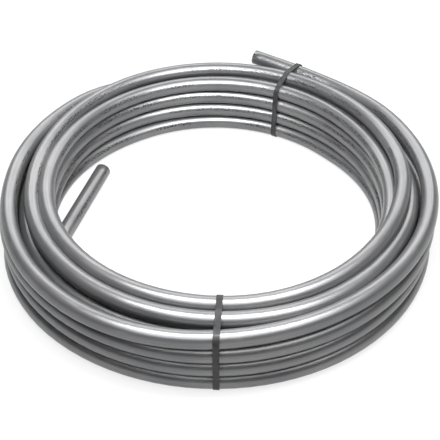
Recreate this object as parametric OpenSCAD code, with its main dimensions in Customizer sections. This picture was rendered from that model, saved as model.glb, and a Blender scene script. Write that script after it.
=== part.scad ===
// Multilayer pipe coil: one length of composite water pipe wound into a flat
// ring, three columns wide and four layers high, and held by two plastic straps.
// Millimetres. Z is up, and the coil lies on z = 0.
// Angles run anticlockwise from +X, seen from above; the front of the coil is -Y.

/* [Pipe] */
// Outside diameter of the pipe
pipe_od = 26; // [16:0.5:40]
// Thickness of the pipe's wall
pipe_wall = 3; // [1.5:0.1:5]

/* [Ring] */
// Clear diameter inside the ring of turns
ring_inner_d = 532; // [400:2:700]
// Number of turns stacked in each column
layers = 4; // [2:1:6]
// Rise from one layer to the next
layer_pitch = 26.7; // [26.2:0.1:42]
// Gap between the inner and the middle column
inner_gap = 2.6; // [0.5:0.1:10]
// Gap between the middle and the outer column
outer_gap = 7.4; // [0.5:0.1:20]
// Height that the top middle turn gains from the front to the back
back_rise = 13; // [2:0.5:20]

/* [Free ends] */
// Straight length up to each free end
end_straight = 60; // [40:1:100]
// Angle of the point where the inner end's straight line passes closest to the ring's axis
inner_end_angle = 165; // [150:1:180]
// Distance from the ring's axis to that point
inner_end_offset = 236; // [200:1:270]
// Length of the inner end beyond that point
inner_end_reach = 62; // [20:1:100]
// Radius of the bend between the inner end and the ring
inner_end_bend = 400; // [300:5:800]
// Angle at which the top outer turn has climbed to its level
outer_start_angle = 140; // [110:1:170]
// Angle that this climb takes
outer_climb_angle = 45; // [30:1:60]
// Angle at which the outer end leaves the ring
outer_end_angle = 54; // [45:1:75]
// Radius of the bend that leads the outer end out of the ring
outer_end_bend = 800; // [500:10:2000]
// Angle of that bend
outer_end_sweep = 7.5; // [3:0.1:12]
// Slope at which the outer end rises
outer_end_slope = 4.5; // [0:0.1:6]

/* [Straps] */
// Width of the strap band
strap_width = 9; // [6:0.5:20]
// Thickness of the strap band
strap_thickness = 0.8; // [0.4:0.1:2]
// Gap between a strap and the pipes it holds
strap_clearance = 0.3; // [0.1:0.1:1]
// Angle of the front strap
front_strap_angle = 268; // [255:1:285]
// Angle of the back strap
back_strap_angle = 68; // [60:1:76]

/* [Hidden] */
pipe_color = [0.62, 0.63, 0.65];
strap_color = [0.06, 0.06, 0.07];
pipe_r = pipe_od / 2;
bore_r = pipe_r - pipe_wall;
// Difference in radius between two stretches that run into each other
step = 0.3;
// Length by which a straight stretch runs into its bend
overlap = 2;
// The straps run under the coil, so the lowest pipes lie this high
lift = strap_thickness + strap_clearance;
column_r = [
    ring_inner_d / 2 + pipe_r,
    ring_inner_d / 2 + pipe_od * 1.5 + inner_gap,
    ring_inner_d / 2 + pipe_od * 2.5 + inner_gap + outer_gap
];
inner = 0;
middle = 1;
outer = 2;
top = layers - 1;
bed_width = pipe_r;
// The inner end's bend runs on until it is halfway between the inner and middle columns
inner_end_centre = inner_end_bend - inner_end_offset;
inner_end_join = (column_r[inner] + column_r[middle]) / 2;
inner_end_sweep = acos((pow(inner_end_centre, 2) + pow(inner_end_bend, 2) - pow(inner_end_join, 2))
    / (2 * inner_end_centre * inner_end_bend));
// Place of the outer end's tip, and its direction, in a frame turned by outer_end_angle
outer_tip_x = column_r[outer] - outer_end_bend * (1 - cos(outer_end_sweep))
    - end_straight * sin(outer_end_sweep);
outer_tip_y = (outer_end_bend * sin(outer_end_sweep) + end_straight * cos(outer_end_sweep))
    * cos(outer_end_slope);
outer_tip_turn = cos(outer_end_sweep) * cos(outer_end_slope) * cos(outer_end_angle)
    - sin(outer_end_sweep) * sin(outer_end_angle);
// The whole coil is moved along Y, so that its bounding box is centred on the origin
back_y = outer_tip_x * sin(outer_end_angle) + outer_tip_y * cos(outer_end_angle)
    + pipe_r * sqrt(1 - pow(outer_tip_turn, 2));
front_y = (column_r[outer] + pipe_r + strap_clearance + strap_thickness) * sin(front_strap_angle)
    - strap_width / 2 * abs(cos(front_strap_angle));
axis_y = -(back_y + front_y) / 2;

function layer_z(layer) = lift + pipe_r + layer * layer_pitch;

// Angle by which a sloping bend runs into a level one, so that no wedge stays open
function run_in(slope, bend) = (pipe_r * sin(slope) + step) / bend * 180 / PI;

// Height of the top middle turn's centre line at an angle
function middle_top_z(angle) = layer_z(top) + back_rise * (1 + sin(angle)) / 2;

// Distance of the outer end's bend from the ring's axis, at an angle past its start
function outer_end_r(turn) = let(centre = outer_end_bend - column_r[outer])
    sqrt(pow(outer_end_bend, 2) - pow(centre * sin(turn), 2)) - centre * cos(turn);

// Height of the outer end's centre line at that angle
function outer_end_z(turn) = layer_z(top) + outer_end_r(turn) * sin(turn) * tan(outer_end_slope);

// Round section of one turn, at its place in the ring
module turn_section(column, layer) {
    translate([column_r[column], layer_z(layer)]) circle(r = pipe_r, $fn = 64);
}

// Sections of the turns that lie flat: all but the top middle and top outer one
module flat_turns() {
    for (column = [inner:outer], layer = [0:top])
        if (column == inner || layer < top) turn_section(column, layer);
}

// Core that ties the hidden sides of the turns together
module core_section() {
    translate([column_r[inner], layer_z(0)])
        square([column_r[middle] - column_r[inner], layer_z(top) - layer_z(0)]);
    translate([column_r[middle], layer_z(0)])
        square([column_r[outer] - column_r[middle], layer_z(top - 1) - layer_z(0)]);
    bed_section(middle);
}

// Narrow bed that carries a top turn
module bed_section(column) {
    translate([column_r[column] - bed_width / 2, layer_z(top - 1)])
        square([bed_width, layer_pitch + bed_width / 2]);
}

// Top middle turn: a whole turn that leans up towards the back
module middle_top() {
    lean = asin(back_rise / 2 / column_r[middle]);
    translate([0, 0, layer_z(top) + back_rise / 2])
        rotate([lean, 0, 0])
            rotate_extrude() translate([column_r[middle], 0]) circle(r = pipe_r, $fn = 64);
}

// Top outer turn, with the bed under it, up to where the outer end leaves the ring
module outer_top() {
    rotate([0, 0, outer_start_angle])
        rotate_extrude(angle = 360 - outer_start_angle + outer_end_angle) {
            turn_section(outer, top);
            bed_section(outer);
        }
}

// Climb from the layer below up to the start of the top outer turn
module outer_climb() {
    half_chord = column_r[outer] * sin(outer_climb_angle / 2);
    slope = atan2(layer_pitch / 2, half_chord);
    half_swing = asin(sqrt(pow(half_chord, 2) + pow(layer_pitch / 2, 2)) / column_r[outer]);
    swing = 2 * half_swing + run_in(slope, column_r[outer]);
    rotate([0, 0, outer_start_angle - outer_climb_angle / 2])
        translate([0, 0, (layer_z(top) + layer_z(top - 1)) / 2])
            rotate([slope, 0, 0]) rotate([0, 0, -half_swing])
                rotate_extrude(angle = swing) translate([column_r[outer], 0])
                    circle(r = pipe_r + step, $fn = 64);
}

// Straight stretch with its tip towards -Y, and the bend behind it
module free_end(radius, length, bend, bend_step, sweep) {
    translate([0, overlap, 0]) rotate([90, 0, 0])
        cylinder(r = radius, h = length + overlap, $fn = 64);
    translate([-bend, 0, 0])
        rotate_extrude(angle = sweep) translate([bend, 0])
            circle(r = radius + bend_step, $fn = 64);
}

// Inner end: crosses the ring's opening at the level of the lowest layer
module inner_end(radius, length, bend_step) {
    rotate([0, 0, inner_end_angle])
        translate([inner_end_offset, end_straight - inner_end_reach, layer_z(0)])
            free_end(radius, length, inner_end_bend, bend_step, inner_end_sweep);
}

// Outer end: leaves the top outer turn, leads out of the ring and rises a little
module outer_end(radius, length, bend_step) {
    sweep = outer_end_sweep + run_in(outer_end_slope, outer_end_bend);
    rotate([0, 0, outer_end_angle])
        translate([column_r[outer], 0, layer_z(top)]) rotate([outer_end_slope, 0, 0])
            translate([-outer_end_bend, 0, 0]) rotate([0, 0, outer_end_sweep])
                translate([outer_end_bend, 0, 0]) mirror([0, 1, 0])
                    free_end(radius, length, outer_end_bend, bend_step, sweep);
}

module outside() {
    rotate_extrude() {
        flat_turns();
        core_section();
    }
    middle_top();
    outer_top();
    outer_climb();
    inner_end(pipe_r, end_straight, step);
    outer_end(pipe_r, end_straight, step);
}

// The bores of the two ends, open at the tips
module bores() {
    inner_end(bore_r, end_straight + 1, -step);
    outer_end(bore_r, end_straight + 1, -step);
}

module pipe() {
    translate([0, axis_y, 0]) color(pipe_color) difference() {
        outside();
        bores();
    }
}

// Direction square to the side from one point to the next, on its outer side
function side_angle(from, to) = atan2(to[1] - from[1], to[0] - from[0]) - 90;

// Outline at a distance round a ring of points, which run anticlockwise
function round_outline(points, distance) = [
    for (i = [0:len(points) - 1])
        let(
            before = points[(i + len(points) - 1) % len(points)],
            after = points[(i + 1) % len(points)],
            first = side_angle(before, points[i]),
            swing = (side_angle(points[i], after) - first + 720) % 360
        )
        for (part = [0:1 / 8:1])
            points[i] + distance * [cos(first + part * swing), sin(first + part * swing)]
];

// Closed band round pipes whose centres it passes, at one angle of the ring
module strap(angle, centres) {
    inside_distance = pipe_r + strap_clearance;
    translate([0, axis_y, 0]) rotate([0, 0, angle]) rotate([90, 0, 0])
        translate([0, 0, -strap_width / 2])
            color(strap_color) linear_extrude(strap_width) difference() {
                polygon(round_outline(centres, inside_distance + strap_thickness));
                polygon(round_outline(centres, inside_distance));
            }
}

module front_strap() {
    strap(front_strap_angle, [
        [column_r[inner], layer_z(0)],
        [column_r[outer], layer_z(0)],
        [column_r[outer], layer_z(top)],
        [column_r[inner], layer_z(top)]
    ]);
}

// Passes over the outer end and the raised middle turn
module back_strap() {
    // The outer end is taken at the strap's far edge, where it stands out furthest
    turn = back_strap_angle - outer_end_angle + atan2(strap_width / 2, column_r[outer]);
    strap(back_strap_angle, [
        [column_r[inner], layer_z(0)],
        [column_r[outer], layer_z(0)],
        [outer_end_r(turn), outer_end_z(turn)],
        [column_r[middle], middle_top_z(back_strap_angle)],
        [column_r[inner], layer_z(top)]
    ]);
}

pipe();
front_strap();
back_strap();
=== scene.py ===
import math

import bmesh
import bpy
from mathutils import Matrix, Vector


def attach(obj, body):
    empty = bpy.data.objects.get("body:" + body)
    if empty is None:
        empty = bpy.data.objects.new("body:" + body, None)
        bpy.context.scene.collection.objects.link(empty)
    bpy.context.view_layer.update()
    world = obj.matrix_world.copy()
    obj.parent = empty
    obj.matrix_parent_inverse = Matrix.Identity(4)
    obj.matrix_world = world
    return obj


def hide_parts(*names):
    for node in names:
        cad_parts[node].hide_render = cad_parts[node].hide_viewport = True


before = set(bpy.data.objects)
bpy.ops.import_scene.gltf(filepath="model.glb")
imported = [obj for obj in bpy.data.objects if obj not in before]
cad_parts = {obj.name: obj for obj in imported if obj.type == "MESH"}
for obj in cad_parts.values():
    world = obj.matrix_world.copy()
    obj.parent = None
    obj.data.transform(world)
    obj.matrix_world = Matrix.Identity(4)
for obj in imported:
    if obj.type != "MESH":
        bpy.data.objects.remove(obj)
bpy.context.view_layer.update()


# Camera: it stands in front of the coil and looks down at it by about 41 degrees. It is
# placed from the middle of the winding, which lies a little off the ring's axis.
axis_y = -0.00822
winding_x = 0.0035
winding_y = axis_y + 0.0025
# The straps run under the coil, so its lowest turns lie this far above the floor
floor_gap = 0.0011
camera_left = 0.0078
camera_distance = 1.1037
camera_height = 0.9540
camera_pitch = 40.69

camera_data = bpy.data.cameras.new("studio_camera")
camera_data.sensor_width = 36.0
camera_data.lens = 71.75
camera = bpy.data.objects.new("studio_camera", camera_data)
camera.location = (winding_x - camera_left, winding_y - camera_distance, camera_height + floor_gap)
camera.rotation_euler = (math.radians(90.0 - camera_pitch), 0.0, 0.0)
bpy.context.scene.collection.objects.link(camera)
bpy.context.scene.camera = camera
bpy.context.scene.view_settings.view_transform = "Standard"


# Studio: a white floor that keeps the coil's soft shadow, a white backdrop with a dim
# ceiling above it, and wide soft boxes overhead and behind. Their light from above is about
# four times as strong as the light on upright faces, and gives each turn a bright crown.
floor_half_size = 6.0
floor_grey = 0.62
floor_white_share = 0.78
backdrop_top = 0.15
ceiling_colour = (0.55, 0.56, 0.58, 1.0)
ceiling_strength = 0.15

floor_mesh = bmesh.new()
bmesh.ops.create_grid(floor_mesh, x_segments=1, y_segments=1, size=floor_half_size)
floor_data = bpy.data.meshes.new("studio_floor")
floor_mesh.to_mesh(floor_data)
floor_mesh.free()
studio_floor = bpy.data.objects.new("studio_floor", floor_data)
bpy.context.scene.collection.objects.link(studio_floor)


def math_node(tree, operation, first, second):
    """A Math node, each of whose inputs is a socket or a number."""
    node = tree.nodes.new("ShaderNodeMath")
    node.operation = operation
    for number, value in enumerate((first, second)):
        if isinstance(value, (int, float)):
            node.inputs[number].default_value = value
        else:
            tree.links.new(value, node.inputs[number])
    return node.outputs[0]


def shown_white(tree, surface, share):
    """Lets a share of plain white stand for a surface where the camera or a gloss sees it."""
    path = tree.nodes.new("ShaderNodeLightPath")
    seen = math_node(tree, "MAXIMUM", path.outputs["Is Camera Ray"], path.outputs["Is Glossy Ray"])
    seen = math_node(tree, "MAXIMUM", seen, path.outputs["Is Transmission Ray"])
    white = tree.nodes.new("ShaderNodeEmission")
    white.inputs["Color"].default_value = (1.0, 1.0, 1.0, 1.0)
    mix = tree.nodes.new("ShaderNodeMixShader")
    tree.links.new(math_node(tree, "MULTIPLY", seen, share), mix.inputs["Fac"])
    tree.links.new(surface, mix.inputs[1])
    tree.links.new(white.outputs["Emission"], mix.inputs[2])
    return mix.outputs["Shader"]


floor_paint = bpy.data.materials.new("floor_paint")
floor_paint.use_nodes = True
floor_tree = floor_paint.node_tree
floor_surface = floor_tree.nodes["Principled BSDF"]
floor_surface.inputs["Base Color"].default_value = (floor_grey, floor_grey, floor_grey, 1.0)
floor_surface.inputs["Roughness"].default_value = 0.9
floor_surface.inputs["Specular IOR Level"].default_value = 0.1
floor_tree.links.new(
    shown_white(floor_tree, floor_surface.outputs["BSDF"], floor_white_share),
    floor_tree.nodes["Material Output"].inputs["Surface"],
)
studio_floor.data.materials.append(floor_paint)

studio_world = bpy.data.worlds.new("studio_world")
bpy.context.scene.world = studio_world
studio_world.use_nodes = True
world_tree = studio_world.node_tree
world_tree.nodes["Background"].inputs["Color"].default_value = ceiling_colour
world_tree.nodes["Background"].inputs["Strength"].default_value = ceiling_strength
facing = world_tree.nodes.new("ShaderNodeTexCoord")
facing_parts = world_tree.nodes.new("ShaderNodeSeparateXYZ")
world_tree.links.new(facing.outputs["Generated"], facing_parts.inputs[0])
backdrop = math_node(world_tree, "LESS_THAN", facing_parts.outputs["Z"], backdrop_top)
world_tree.links.new(
    shown_white(world_tree, world_tree.nodes["Background"].outputs["Background"], backdrop),
    world_tree.nodes["World Output"].inputs["Surface"],
)


def soft_box(name, place, aim, width, depth, power):
    """A rectangular area lamp that faces a point."""
    lamp_data = bpy.data.lights.new(name, "AREA")
    lamp_data.shape = "RECTANGLE"
    lamp_data.size = width
    lamp_data.size_y = depth
    lamp_data.energy = power
    lamp = bpy.data.objects.new(name, lamp_data)
    lamp.location = place
    lamp.visible_camera = False
    lamp.rotation_euler = (Vector(aim) - Vector(place)).to_track_quat("-Z", "Y").to_euler()
    bpy.context.scene.collection.objects.link(lamp)


soft_box("overhead_box", (0.15, -0.55, 1.75), (0.0, -0.1, 0.0), 2.4, 1.6, 56.0)
soft_box("back_box", (0.0, 2.0, 1.6), (0.0, 0.0, 0.0), 3.6, 1.1, 58.0)
soft_box("inner_box", (0.0, -0.25, 0.80), (0.0, 0.30, 0.05), 0.7, 0.25, 16.0)


# Pipe: one length of composite pipe, 24.5 m long, plastic outside and inside with
# aluminium between. It is wound from the inner end up the inner column, across the top at
# the right, down the middle column and up the outer one, where its other end stands free.
pipe_radius = 0.013
bore_radius = 0.010
skin_inside_radius = 0.0120
foil_inside_radius = 0.0115
end_chamfer = 0.0004
lowest_turn = floor_gap + pipe_radius
layer_rise = 0.0267

# Angles run on anticlockwise from the right-hand side of the first turn, in degrees.
# A turn's front is at 270, its right at 360 and its back at 450, and so on by turns of 360.
inner_line_angle = 165.0
inner_line_distance = 0.2392
inner_tip_reach = 0.0665
inner_tip_angle = inner_line_angle - math.degrees(math.atan2(inner_tip_reach, inner_line_distance))
outer_leave_angle = 4734.0
outer_leave_distance = 0.338
outer_end_angle = 54.0
outer_column = 0.341
outer_bend_radius = 0.800
outer_bend_turn = 7.5
outer_slope = 4.5
end_straight = 0.058
top_layer = 3.0

# Spacing of the route's points: degrees on the turns, metres on the outer end
turn_step = 3.6
outer_step = 0.016
# The turns blend into the outer end over these angles, counted from where it leaves the ring
blend_start = -12.0
blend_span = 22.0
turns_end = 14.0

# Distance of the pipe's centre line from the winding's middle, in millimetres, at each angle
winding_distance = [
    (191.0, 266.1), (198.0, 268.5), (206.0, 268.0), (225.0, 263.0), (250.0, 257.0), (285.0, 255.0),
    (325.0, 257.0), (371.0, 260.8), (401.0, 259.3), (414.0, 263.9), (432.0, 271.9), (450.0, 278.7),
    (468.0, 282.9), (486.0, 284.9), (504.0, 288.4), (522.0, 291.4), (540.0, 292.0), (556.0, 292.6),
    (572.0, 293.4), (592.0, 293.0), (620.0, 288.1), (650.0, 279.3), (690.0, 267.6), (726.0, 262.5),
    (750.0, 263.3), (774.0, 267.9), (792.0, 273.8), (810.0, 280.6), (828.0, 286.9), (846.0, 291.1),
    (864.0, 291.7), (882.0, 288.3), (900.0, 284.3), (930.0, 282.3), (970.0, 279.7), (1010.0, 274.7),
    (1050.0, 268.4), (1086.0, 263.1), (1110.0, 262.7), (1134.0, 267.1), (1152.0, 274.3), (1170.0, 282.3),
    (1188.0, 288.3), (1206.0, 290.1), (1224.0, 288.9), (1242.0, 286.6), (1260.0, 284.9), (1290.0, 283.2),
    (1330.0, 280.4), (1370.0, 274.1), (1410.0, 267.2), (1446.0, 264.0), (1470.0, 265.0), (1494.0, 269.6),
    (1512.0, 275.5), (1530.0, 281.8), (1548.0, 286.2), (1566.0, 287.3), (1584.0, 286.0), (1602.0, 283.9),
    (1618.0, 282.5), (1632.0, 281.6), (1655.0, 280.8), (1690.0, 279.9), (1703.0, 279.5), (1714.0, 279.1),
    (1726.0, 278.4), (1740.0, 277.3), (1752.0, 276.2), (1764.0, 275.2), (1780.0, 276.3), (1800.0, 281.3),
    (1820.0, 284.8), (1840.0, 291.3), (1860.0, 300.2), (1880.0, 308.6), (1895.0, 312.9), (1910.0, 314.5),
    (1926.0, 313.5), (1945.0, 310.3), (1965.0, 306.2), (1985.0, 303.8), (2010.0, 304.9), (2034.0, 306.9),
    (2055.0, 307.8), (2070.0, 307.6), (2084.0, 306.3), (2096.0, 303.6), (2110.0, 298.4), (2130.0, 292.2),
    (2152.0, 293.1), (2190.0, 291.4), (2220.0, 295.2), (2250.0, 309.7), (2290.0, 316.5), (2340.0, 314.5),
    (2380.0, 316.8), (2425.0, 308.0), (2460.0, 302.0), (2490.0, 296.2), (2520.0, 291.6), (2550.0, 291.8),
    (2580.0, 298.7), (2610.0, 308.6), (2650.0, 317.0), (2700.0, 314.3), (2740.0, 316.2), (2785.0, 309.6),
    (2820.0, 301.2), (2850.0, 300.0), (2880.0, 297.9), (2910.0, 298.3), (2940.0, 300.7), (2970.0, 307.2),
    (3010.0, 317.6), (3060.0, 314.2), (3100.0, 316.1), (3145.0, 309.4), (3180.0, 301.0), (3210.0, 296.0),
    (3240.0, 295.5), (3290.0, 299.0), (3330.0, 305.0), (3355.0, 319.0), (3380.0, 335.0), (3404.0, 340.5),
    (3430.0, 345.4), (3443.0, 349.0), (3458.0, 350.2), (3476.0, 348.1), (3496.0, 344.4), (3506.0, 342.2),
    (3514.0, 340.3), (3523.0, 338.0), (3532.0, 335.7), (3544.0, 332.4), (3558.0, 328.4), (3578.0, 323.0),
    (3600.0, 319.4), (3640.0, 323.8), (3705.0, 338.3), (3740.0, 342.8), (3790.0, 343.7), (3803.0, 344.9),
    (3818.0, 346.6), (3836.0, 347.3), (3856.0, 344.8), (3866.0, 342.4), (3874.0, 340.1), (3883.0, 337.1),
    (3892.0, 333.9), (3904.0, 329.7), (3918.0, 325.1), (3938.0, 320.4), (3960.0, 318.9), (4000.0, 324.0),
    (4065.0, 338.5), (4100.0, 342.3), (4150.0, 344.5), (4163.0, 345.6), (4178.0, 347.0), (4196.0, 347.8),
    (4216.0, 345.7), (4226.0, 342.9), (4234.0, 340.1), (4243.0, 336.7), (4252.0, 333.5), (4264.0, 329.8),
    (4278.0, 326.1), (4298.0, 322.3), (4320.0, 320.3), (4360.0, 322.7), (4480.0, 337.5), (4500.0, 337.1),
    (4512.0, 339.5), (4524.0, 343.5), (4540.0, 348.7), (4557.0, 350.9), (4567.0, 349.9), (4576.0, 347.1),
    (4586.0, 342.2), (4593.0, 338.4), (4602.0, 334.0), (4612.0, 330.0), (4623.0, 326.5), (4638.0, 323.4),
    (4656.0, 321.8), (4666.0, 321.8), (4674.0, 322.3), (4685.0, 323.6), (4700.0, 327.2), (4715.0, 332.4),
    (4728.0, 335.2), (4742.0, 343.0), (4760.0, 349.0), (4820.0, 380.0),
]

# Height of the centre line above the lowest layer, in layers, at each angle
winding_height = [
    (150.0, 0.00), (640.0, 0.00), (690.0, 0.45), (704.0, 0.60), (726.0, 0.74), (747.0, 0.85), (774.0, 0.95),
    (795.0, 1.00), (1010.0, 1.00), (1064.0, 1.50), (1079.0, 1.62), (1111.0, 1.84), (1150.0, 2.00),
    (1365.0, 2.00), (1449.0, 2.65), (1462.0, 2.72), (1510.0, 3.00), (1710.0, 3.00), (1785.0, 3.36),
    (1805.0, 3.44), (1915.0, 3.44), (1985.0, 3.00), (2075.0, 3.00), (2160.0, 2.62), (2215.0, 2.62),
    (2280.0, 2.50), (2345.0, 2.00), (2435.0, 2.00), (2520.0, 1.74), (2590.0, 1.70), (2640.0, 1.55),
    (2705.0, 1.00), (2795.0, 1.00), (2880.0, 0.87), (2960.0, 0.87), (3005.0, 0.80), (3080.0, 0.00),
    (3705.0, 0.00), (3750.0, 1.00), (4060.0, 1.00), (4105.0, 2.00), (4415.0, 2.00), (4460.0, 3.00),
    (5100.0, 3.00),
]


def along_stations(stations, angle):
    """Smooth value between stations, which never swings past them."""
    for number in range(1, len(stations) - 1):
        if angle < stations[number][0]:
            break
    slopes = []
    for middle in (number - 1, number):
        before = stations[max(middle - 1, 0)]
        here = stations[middle]
        after = stations[min(middle + 1, len(stations) - 1)]
        rise = (here[1] - before[1]) / max(here[0] - before[0], 1.0)
        fall = (after[1] - here[1]) / max(after[0] - here[0], 1.0)
        slopes.append(2.0 * rise * fall / (rise + fall) if rise * fall > 0.0 else 0.0)
    (start, low), (end, high) = stations[number - 1], stations[number]
    span = end - start
    part = min(max((angle - start) / span, 0.0), 1.0)
    eased = part * part * (3.0 - 2.0 * part)
    swing = part * (1.0 - part) * ((1.0 - part) * slopes[0] - part * slopes[1]) * span
    return low + (high - low) * eased + swing


def point_on_turns(angle):
    """Place on the turns at an angle; before the first entry it lies on the inner end's line."""
    if angle < winding_distance[0][0]:
        reach = inner_line_distance / math.cos(math.radians(angle - inner_line_angle))
    else:
        reach = along_stations(winding_distance, angle) / 1000.0
    height = lowest_turn + layer_rise * along_stations(winding_height, angle)
    turn = math.radians(angle)
    return Vector((reach * math.cos(turn) + winding_x, reach * math.sin(turn) + winding_y, height))


# The outer end: a bend of large radius leads out of the ring, and the last stretch is straight
leave_frame = (
    Matrix.Translation((0.0, axis_y, 0.0))
    @ Matrix.Rotation(math.radians(outer_end_angle), 4, "Z")
    @ Matrix.Translation((outer_column, 0.0, lowest_turn + top_layer * layer_rise))
    @ Matrix.Rotation(math.radians(outer_slope), 4, "X")
)


def point_on_outer_end(length):
    """Place at a length past the point where the outer end leaves the ring."""
    bend_length = outer_bend_radius * math.radians(outer_bend_turn)
    bend = math.radians(outer_bend_turn) if length > bend_length else length / outer_bend_radius
    straight = max(length - bend_length, 0.0)
    return leave_frame @ Vector((
        -outer_bend_radius * (1.0 - math.cos(bend)) - straight * math.sin(bend),
        outer_bend_radius * math.sin(bend) + straight * math.cos(bend),
        0.0,
    ))


def pipe_route():
    """Points along the whole pipe, from its inner tip to its outer tip."""
    tip = point_on_turns(inner_tip_angle)
    inwards = (point_on_turns(inner_tip_angle + 1.0) - tip).normalized()
    points = [tip, tip + inwards * end_chamfer]
    angle = inner_tip_angle + turn_step
    while angle < outer_leave_angle + turns_end:
        past = math.radians(angle - outer_leave_angle) * outer_leave_distance
        share = min(max((angle - outer_leave_angle - blend_start) / blend_span, 0.0), 1.0)
        share = share * share * (3.0 - 2.0 * share)
        points.append(point_on_turns(angle).lerp(point_on_outer_end(past), share))
        angle += turn_step
    end_length = outer_bend_radius * math.radians(outer_bend_turn) + end_straight
    reached = past + 0.75 * outer_step
    while reached < end_length - outer_step / 2.0:
        points.append(point_on_outer_end(reached))
        reached += outer_step
    points.append(point_on_outer_end(end_length - end_chamfer))
    points.append(point_on_outer_end(end_length))
    return points


def sections(points):
    """A frame at each point: X away from the axis, Y up, Z along the pipe."""
    frames = []
    for number, point in enumerate(points):
        before = points[max(number - 1, 0)]
        after = points[min(number + 1, len(points) - 1)]
        along = (after - before).normalized()
        side = along.cross(Vector((0.0, 0.0, 1.0))).normalized()
        up = side.cross(along).normalized()
        turned = Matrix((side, up, -along)).transposed().to_4x4()
        frames.append(Matrix.Translation(point) @ turned)
    return frames


around_count = 36
merge_distance = 1e-5
route = pipe_route()
route_frames = sections(route)
lengths_along = [0.0]
for before, after in zip(route, route[1:]):
    lengths_along.append(lengths_along[-1] + (after - before).length)
last_section = len(route) - 1
pipe_form = bmesh.new()
pipe_uv = pipe_form.loops.layers.uv.new("pipe_uv")

skin_slot, foil_slot, lining_slot = range(3)
# The wall's outline: along the skin to the outer tip, in across that cut, back along the
# bore, and out across the inner cut. Each entry has a place on the route, a radius and a
# material.
wall = [(0, pipe_radius - end_chamfer, skin_slot)]
wall += [(section, pipe_radius, skin_slot) for section in range(1, last_section)]
wall += [
    (last_section, pipe_radius - end_chamfer, skin_slot),
    (last_section, skin_inside_radius, skin_slot),
    (last_section, foil_inside_radius, foil_slot),
]
wall += [(section, bore_radius, lining_slot) for section in range(last_section, -1, -1)]
wall += [
    (0, foil_inside_radius, lining_slot),
    (0, skin_inside_radius, foil_slot),
    (0, pipe_radius - end_chamfer, skin_slot),
]

# A flat grid is rolled round the route and closed both ways. Its UV is metres along and the
# share round, from the pipe's underside over its outer side, top and inner side.
wall_steps = len(wall) - 1
sheet = bmesh.ops.create_grid(pipe_form, x_segments=wall_steps, y_segments=around_count, size=1.0)
grid_place = {}
for vert in sheet["verts"]:
    place = round((vert.co.x + 1.0) / 2.0 * wall_steps)
    share = round((vert.co.y + 1.0) / 2.0 * around_count) / around_count
    grid_place[vert] = (place, share)
    section, reach, _ = wall[place]
    around = 2.0 * math.pi * (share - 0.25)
    rim = Vector((reach * math.cos(around), reach * math.sin(around), 0.0))
    vert.co = route_frames[section] @ rim
for face in pipe_form.faces:
    places = [grid_place[vert][0] for vert in face.verts]
    face.material_index = wall[max(places)][2]
    face.smooth = wall[max(places)][0] != wall[min(places)][0]
    for loop in face.loops:
        place, share = grid_place[loop.vert]
        loop[pipe_uv].uv = (lengths_along[wall[place][0]], share)
bmesh.ops.remove_doubles(pipe_form, verts=pipe_form.verts, dist=merge_distance)
bmesh.ops.recalc_face_normals(pipe_form, faces=pipe_form.faces)

pipe_data = bpy.data.meshes.new("wound_pipe")
pipe_form.to_mesh(pipe_data)
pipe_form.free()
wound_pipe = bpy.data.objects.new("wound_pipe", pipe_data)
bpy.context.scene.collection.objects.link(wound_pipe)


def finish(name, base, metallic, roughness):
    """A new material with its plain values, and its node tree and shader."""
    material = bpy.data.materials.new(name)
    material.use_nodes = True
    shader = material.node_tree.nodes["Principled BSDF"]
    shader.inputs["Base Color"].default_value = (*base, 1.0)
    shader.inputs["Metallic"].default_value = metallic
    shader.inputs["Roughness"].default_value = roughness
    return material, material.node_tree, shader


def pattern(tree, source, scale, detail):
    """Noise on Object coordinates, or on the piece's UV, at a scale for each axis."""
    coordinates = tree.nodes.new("ShaderNodeTexCoord")
    mapping = tree.nodes.new("ShaderNodeMapping")
    mapping.inputs["Scale"].default_value = scale
    tree.links.new(coordinates.outputs[source], mapping.inputs["Vector"])
    noise = tree.nodes.new("ShaderNodeTexNoise")
    noise.inputs["Scale"].default_value = 1.0
    noise.inputs["Detail"].default_value = detail
    tree.links.new(mapping.outputs["Vector"], noise.inputs["Vector"])
    return noise.outputs["Fac"]


def spread(tree, value, low, high, start, end):
    """Maps a value from one range to another and holds it inside."""
    mapped = tree.nodes.new("ShaderNodeMapRange")
    mapped.inputs["From Min"].default_value = low
    mapped.inputs["From Max"].default_value = high
    mapped.inputs["To Min"].default_value = start
    mapped.inputs["To Max"].default_value = end
    tree.links.new(value, mapped.inputs["Value"])
    return mapped.outputs["Result"]


def blended(tree, share, first, second):
    """A colour between two, which are sockets or colours."""
    mix = tree.nodes.new("ShaderNodeMix")
    mix.data_type = "RGBA"
    tree.links.new(share, mix.inputs["Factor"])
    for socket, value in ((mix.inputs[6], first), (mix.inputs[7], second)):
        if isinstance(value, tuple):
            socket.default_value = (*value, 1.0)
        else:
            tree.links.new(value, socket)
    return mix.outputs[2]


def roughened(tree, shader, height, distance):
    """Bump of a real height in metres."""
    bump = tree.nodes.new("ShaderNodeBump")
    bump.inputs["Distance"].default_value = distance
    tree.links.new(height, bump.inputs["Height"])
    tree.links.new(bump.outputs["Normal"], shader.inputs["Normal"])


# Outer skin: silver-grey polyethylene with fine lengthwise draw marks and handling scuffs.
# A line of worn ink dashes and dots runs along the side that faces into the ring.
skin_shades = ((0.146, 0.147, 0.151), (0.192, 0.192, 0.194))
draw_mark_shade = (0.110, 0.112, 0.115)
scuff_shade = (0.27, 0.27, 0.27)
ink_shade = (0.020, 0.020, 0.022)
skin_relief = 0.00006

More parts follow.
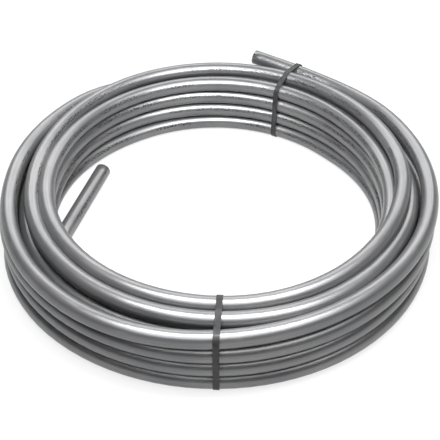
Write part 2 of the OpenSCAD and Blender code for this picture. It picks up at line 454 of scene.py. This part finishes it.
pipe_skin, skin_tree, skin = finish("pipe_skin", (0.165, 0.166, 0.169), 0.75, 0.35)
cloudy = pattern(skin_tree, "Object", (9.0, 9.0, 9.0), 3.0)
draw_marks = pattern(skin_tree, "UV", (2.5, 60.0, 1.0), 4.0)
grain = pattern(skin_tree, "Object", (420.0, 420.0, 420.0), 2.0)
scuff_noise = pattern(skin_tree, "UV", (26.0, 16.0, 1.0), 5.0)
scuffs = spread(skin_tree, scuff_noise, 0.60, 0.72, 0.0, 1.0)
shade_share = spread(skin_tree, cloudy, 0.35, 0.65, 0.0, 1.0)
skin_colour = blended(skin_tree, shade_share, *skin_shades)
draw_share = spread(skin_tree, draw_marks, 0.35, 0.70, 0.0, 0.35)
skin_colour = blended(skin_tree, draw_share, skin_colour, draw_mark_shade)
scuff_share = math_node(skin_tree, "MULTIPLY", scuffs, 0.25)
skin_colour = blended(skin_tree, scuff_share, skin_colour, scuff_shade)

# The ink lies at a share round the pipe, wanders a little, and is printed in runs
ink_place = 0.655
ink_half_width = 0.036
ink_drift = 0.035
runs_per_metre = 2.1
print_run = 0.78

skin_map = skin_tree.nodes.new("ShaderNodeTexCoord")
skin_parts = skin_tree.nodes.new("ShaderNodeSeparateXYZ")
skin_tree.links.new(skin_map.outputs["UV"], skin_parts.inputs[0])
along_pipe, round_pipe = skin_parts.outputs["X"], skin_parts.outputs["Y"]
drift_noise = pattern(skin_tree, "UV", (1.2, 0.0, 1.0), 1.0)
drift = spread(skin_tree, drift_noise, 0.3, 0.7, -ink_drift, ink_drift)
from_line = math_node(skin_tree, "SUBTRACT", round_pipe, drift)
from_line = math_node(skin_tree, "SUBTRACT", from_line, ink_place)
off_line = math_node(skin_tree, "ABSOLUTE", from_line, 0.0)
on_line = math_node(skin_tree, "LESS_THAN", off_line, ink_half_width)
dash_noise = pattern(skin_tree, "UV", (260.0, 34.0, 1.0), 1.0)
dashes = spread(skin_tree, dash_noise, 0.49, 0.56, 0.0, 1.0)
run_place = math_node(skin_tree, "MULTIPLY", along_pipe, runs_per_metre)
run_place = math_node(skin_tree, "FRACT", run_place, 0.0)
in_run = math_node(skin_tree, "LESS_THAN", run_place, print_run)
wear_noise = pattern(skin_tree, "UV", (14.0, 6.0, 1.0), 3.0)
worn = spread(skin_tree, wear_noise, 0.38, 0.55, 0.15, 0.85)
ink_band = math_node(skin_tree, "MULTIPLY", on_line, in_run)
worn_dashes = math_node(skin_tree, "MULTIPLY", dashes, worn)
ink = math_node(skin_tree, "MULTIPLY", ink_band, worn_dashes)
inked_colour = blended(skin_tree, ink, skin_colour, ink_shade)
skin_tree.links.new(inked_colour, skin.inputs["Base Color"])

drawn_roughness = spread(skin_tree, draw_marks, 0.3, 0.7, 0.29, 0.40)
scuffed_roughness = math_node(skin_tree, "MULTIPLY", scuffs, 0.12)
skin_roughness = math_node(skin_tree, "ADD", drawn_roughness, scuffed_roughness)
skin_tree.links.new(skin_roughness, skin.inputs["Roughness"])
fine_grain = math_node(skin_tree, "MULTIPLY", grain, 0.6)
roughened(skin_tree, skin, math_node(skin_tree, "ADD", draw_marks, fine_grain), skin_relief)

# Foil: the aluminium layer shows at the cut ends as a thin bright ring with saw marks
pipe_foil, foil_tree, foil = finish("pipe_foil", (0.75, 0.75, 0.76), 1.0, 0.35)
foil_marks = pattern(foil_tree, "Object", (900.0, 900.0, 200.0), 2.0)
foil_roughness = spread(foil_tree, foil_marks, 0.3, 0.7, 0.25, 0.50)
foil_tree.links.new(foil_roughness, foil.inputs["Roughness"])
roughened(foil_tree, foil, foil_marks, 0.00005)

# Lining: pale polyethylene, drawn smooth
pipe_lining, lining_tree, lining = finish("pipe_lining", (0.70, 0.69, 0.66), 0.0, 0.40)
lining_clouds = pattern(lining_tree, "Object", (60.0, 60.0, 60.0), 3.0)
lining_colour = blended(lining_tree, lining_clouds, (0.66, 0.65, 0.61), (0.74, 0.73, 0.70))
lining_tree.links.new(lining_colour, lining.inputs["Base Color"])
lining_grain = pattern(lining_tree, "Object", (300.0, 300.0, 300.0), 2.0)
roughened(lining_tree, lining, lining_grain, 0.00003)

for material in (pipe_skin, pipe_foil, pipe_lining):
    wound_pipe.data.materials.append(material)
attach(wound_pipe, "root")
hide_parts("pipe")


# Straps: two black polypropylene bands, drawn tight round all the turns by a hand tool.
# Each band's end laps over its start and is welded there by friction. The lap is a second
# ply that lies on the band.
band_width = 0.009
band_thickness = 0.0008
band_gap = 0.0003
bearing_count = 120
# A band's plane passes through a point at each of these distances from the winding's middle
inner_aim = 0.25
outer_aim = 0.35
# Only crossings further out than this are held, not those on the ring's far side
held_from = 0.2


def point_at(distance, angle):
    """Point at a distance and an angle from the winding's middle, on the floor."""
    turn = math.radians(angle)
    return Vector((distance * math.cos(turn), distance * math.sin(turn), 0.0))


def band_plane(inner_angle, outer_angle):
    """Frame of a band's plane: X outwards, Y across the band, Z up."""
    inner_point = point_at(inner_aim, inner_angle)
    outwards = (point_at(outer_aim, outer_angle) - inner_point).normalized()
    up = Vector((0.0, 0.0, 1.0))
    turned = Matrix((outwards, up.cross(outwards), up)).transposed().to_4x4()
    middle = Vector((winding_x, winding_y, 0.0))
    return Matrix.Translation(middle + inner_point - outwards * inner_aim) @ turned


def pipes_held(plane):
    """Where the pipe crosses the middle and both edges of a band: distance outwards and height."""
    seen_from_plane = [plane.inverted() @ point for point in route]
    held = []
    for before, after in zip(seen_from_plane, seen_from_plane[1:]):
        for across in (-band_width / 2.0, 0.0, band_width / 2.0):
            if before.x > held_from and (before.y - across) * (after.y - across) < 0.0:
                crossing = before.lerp(after, (across - before.y) / (after.y - before.y))
                held.append((crossing.x, crossing.z))
    return held


def band_piece(form, uv_layer, plane, held, start, end, ply):
    """A stretch of band between two bearings, drawn tight round the pipes it holds."""
    reach = pipe_radius + band_gap + ply * band_thickness
    steps = round((end - start) / 360.0 * bearing_count)
    outline = []
    for step in range(steps + 1):
        bearing = math.radians(start + (end - start) * step / steps)
        away = (math.cos(bearing), math.sin(bearing))
        furthest = max(held, key=lambda centre: centre[0] * away[0] + centre[1] * away[1])
        outline.append((furthest[0] + reach * away[0], furthest[1] + reach * away[1]))
    lengths = [0.0]
    for before, after in zip(outline, outline[1:]):
        lengths.append(lengths[-1] + math.dist(before, after))
    sheet = bmesh.ops.create_grid(form, x_segments=steps, y_segments=1, size=1.0)
    for vert in sheet["verts"]:
        step = round((vert.co.x + 1.0) / 2.0 * steps)
        across = vert.co.y * band_width / 2.0
        for loop in vert.link_loops:
            loop[uv_layer].uv = (lengths[step], across)
        vert.co = plane @ Vector((outline[step][0], across, outline[step][1]))
    bmesh.ops.remove_doubles(form, verts=sheet["verts"], dist=merge_distance)
    faces = list({face for vert in sheet["verts"] if vert.is_valid for face in vert.link_faces})
    bmesh.ops.recalc_face_normals(form, faces=faces)
    raised = bmesh.ops.extrude_face_region(form, geom=faces)["geom"]
    for vert in [part for part in raised if isinstance(part, bmesh.types.BMVert)]:
        local = plane.inverted() @ vert.co
        nearest = min(range(steps + 1), key=lambda step: math.dist(outline[step], (local.x, local.z)))
        bearing = math.radians(start + (end - start) * nearest / steps)
        local += Vector((math.cos(bearing), 0.0, math.sin(bearing))) * band_thickness
        vert.co = plane @ local


strap_plastic, strap_tree, strap_shader = finish("strap_plastic", (0.018, 0.018, 0.019), 0.0, 0.42)
strap_shader.inputs["Specular IOR Level"].default_value = 0.35
emboss = strap_tree.nodes.new("ShaderNodeTexChecker")
emboss.inputs["Scale"].default_value = 1.0
strap_map = strap_tree.nodes.new("ShaderNodeTexCoord")
strap_mapping = strap_tree.nodes.new("ShaderNodeMapping")
strap_mapping.inputs["Rotation"].default_value = (0.0, 0.0, math.radians(45.0))
strap_mapping.inputs["Scale"].default_value = (1100.0, 1100.0, 1.0)
strap_tree.links.new(strap_map.outputs["UV"], strap_mapping.inputs["Vector"])
strap_tree.links.new(strap_mapping.outputs["Vector"], emboss.inputs["Vector"])
strap_dust = pattern(strap_tree, "Object", (70.0, 70.0, 70.0), 4.0)
dust_share = spread(strap_tree, strap_dust, 0.40, 0.70, 0.0, 1.0)
strap_colour = blended(strap_tree, dust_share, (0.012, 0.012, 0.013), (0.028, 0.028, 0.030))
strap_tree.links.new(strap_colour, strap_shader.inputs["Base Color"])
strap_roughness = spread(strap_tree, strap_dust, 0.3, 0.7, 0.32, 0.48)
strap_tree.links.new(strap_roughness, strap_shader.inputs["Roughness"])
roughened(strap_tree, strap_shader, emboss.outputs["Fac"], 0.00008)

# Each band's two angles on the ring, and the bearings between which its lap lies
for strap_name, inner_angle, outer_angle, lap_start, lap_end in (
    ("front", 268.5, 267.9, 15.0, 87.0),
    ("back", 69.6, 66.6, -30.0, 69.0),
):
    plane = band_plane(inner_angle, outer_angle)
    held = pipes_held(plane)
    band_form = bmesh.new()
    band_uv = band_form.loops.layers.uv.new("band_uv")
    band_piece(band_form, band_uv, plane, held, 0.0, 360.0, 0)
    band_piece(band_form, band_uv, plane, held, lap_start, lap_end, 1)
    bmesh.ops.recalc_face_normals(band_form, faces=band_form.faces)
    band_data = bpy.data.meshes.new(strap_name + "_band")
    band_form.to_mesh(band_data)
    band_form.free()
    band_data.materials.append(strap_plastic)
    band = bpy.data.objects.new(strap_name + "_band", band_data)
    bpy.context.scene.collection.objects.link(band)
    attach(band, "root")
    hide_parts(strap_name + "_strap")
